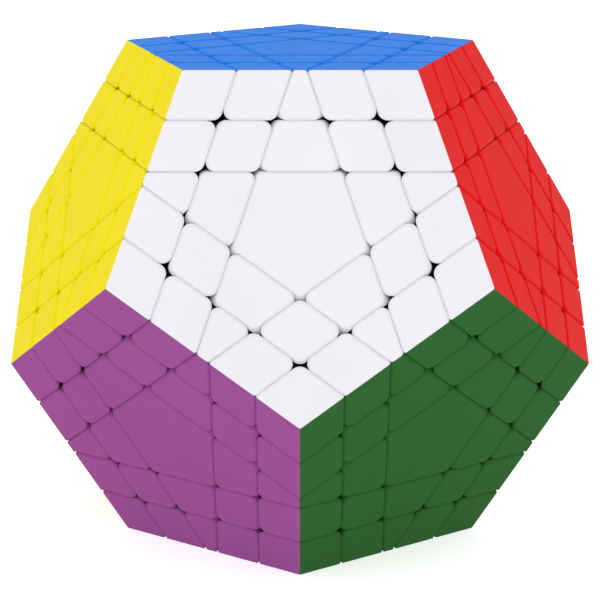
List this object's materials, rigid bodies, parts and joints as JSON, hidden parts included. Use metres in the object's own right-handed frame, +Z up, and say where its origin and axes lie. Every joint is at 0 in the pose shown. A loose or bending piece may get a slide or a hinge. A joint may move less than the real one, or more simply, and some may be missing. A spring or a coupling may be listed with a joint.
{
  "type": "twisty puzzle",
  "caption": "Dodecahedral twisty puzzle: coloured tiles on footed inner pieces held to a sprung ball core, each face cut into turning layers.",
  "frame": {"origin": "centre of the ball core, which is the centre of the dodecahedron", "axes": "+Z up through the centre of the blue face, -Y towards the front, where the white face looks forward and up, +X to the right as seen from the front"},
  "size_m": [0.1176, 0.1236, 0.1],
  "materials": {
    "blue": "smooth semi-gloss",
    "white": "smooth semi-gloss",
    "red": "smooth semi-gloss",
    "pink": "smooth semi-gloss",
    "lime": "smooth semi-gloss",
    "yellow": "smooth semi-gloss",
    "green": "smooth semi-gloss",
    "cream": "smooth semi-gloss",
    "grey": "smooth semi-gloss",
    "orange": "smooth semi-gloss",
    "purple": "smooth semi-gloss",
    "sky": "smooth semi-gloss",
    "inner_black": "moulded satin",
    "core_plastic": "moulded satin",
    "spring_steel": "bright"
  },
  "bodies": {
    "core": {"centre_hubs": "inner_black", "t_centre_feet": "inner_black", "x_centre_feet": "inner_black", "middle_edge_feet": "inner_black", "wing_feet": "inner_black", "corner_feet": "inner_black", "sky_tiles": "sky", "white_tiles": "white", "green_tiles": "green", "red_tiles": "red", "pink_tiles": "pink", "grey_tiles": "grey", "lime_tiles": "lime", "orange_tiles": "orange", "yellow_tiles": "yellow", "core_spider": "core_plastic", "core_shell_upper": "core_plastic", "core_shell_lower": "core_plastic", "axis_screws": "spring_steel", "axis_washers": "spring_steel", "axis_springs": "spring_steel"},
    "blue_face_layer": {"blue_face_layer_feet": "inner_black", "blue_face_layer_blue_tiles": "blue", "blue_face_layer_white_tiles": "white", "blue_face_layer_red_tiles": "red", "blue_face_layer_pink_tiles": "pink", "blue_face_layer_lime_tiles": "lime", "blue_face_layer_yellow_tiles": "yellow"},
    "blue_second_layer": {"blue_second_layer_feet": "inner_black", "blue_second_layer_white_tiles": "white", "blue_second_layer_red_tiles": "red", "blue_second_layer_pink_tiles": "pink", "blue_second_layer_lime_tiles": "lime", "blue_second_layer_yellow_tiles": "yellow"},
    "purple_face_layer": {"purple_face_layer_feet": "inner_black", "purple_face_layer_purple_tiles": "purple", "purple_face_layer_sky_tiles": "sky", "purple_face_layer_white_tiles": "white", "purple_face_layer_green_tiles": "green", "purple_face_layer_orange_tiles": "orange", "purple_face_layer_yellow_tiles": "yellow"},
    "purple_second_layer": {"purple_second_layer_feet": "inner_black", "purple_second_layer_sky_tiles": "sky", "purple_second_layer_white_tiles": "white", "purple_second_layer_green_tiles": "green", "purple_second_layer_orange_tiles": "orange", "purple_second_layer_yellow_tiles": "yellow"},
    "cream_face_layer": {"cream_face_layer_feet": "inner_black", "cream_face_layer_cream_tiles": "cream", "cream_face_layer_sky_tiles": "sky", "cream_face_layer_green_tiles": "green", "cream_face_layer_red_tiles": "red", "cream_face_layer_pink_tiles": "pink", "cream_face_layer_grey_tiles": "grey"},
    "cream_second_layer": {"cream_second_layer_feet": "inner_black", "cream_second_layer_sky_tiles": "sky", "cream_second_layer_green_tiles": "green", "cream_second_layer_red_tiles": "red", "cream_second_layer_pink_tiles": "pink", "cream_second_layer_grey_tiles": "grey"}
  },
  "joints": [
    {"name": "blue_face_layer_turn", "type": "hinge", "parent": "core", "child": "blue_face_layer", "pos_m": [0, 0, 0], "axis": [0, 0, 1], "continuous": true},
    {"name": "blue_second_layer_turn", "type": "hinge", "parent": "core", "child": "blue_second_layer", "pos_m": [0, 0, 0], "axis": [0, 0, 1], "continuous": true},
    {"name": "purple_face_layer_turn", "type": "hinge", "parent": "core", "child": "purple_face_layer", "pos_m": [0, 0, 0], "axis": [-0.5257, -0.7236, -0.4472], "continuous": true},
    {"name": "purple_second_layer_turn", "type": "hinge", "parent": "core", "child": "purple_second_layer", "pos_m": [0, 0, 0], "axis": [-0.5257, -0.7236, -0.4472], "continuous": true},
    {"name": "cream_face_layer_turn", "type": "hinge", "parent": "core", "child": "cream_face_layer", "pos_m": [0, 0, 0], "axis": [0.8507, 0.2764, -0.4472], "continuous": true},
    {"name": "cream_second_layer_turn", "type": "hinge", "parent": "core", "child": "cream_second_layer", "pos_m": [0, 0, 0], "axis": [0.8507, 0.2764, -0.4472], "continuous": true}
  ]
}
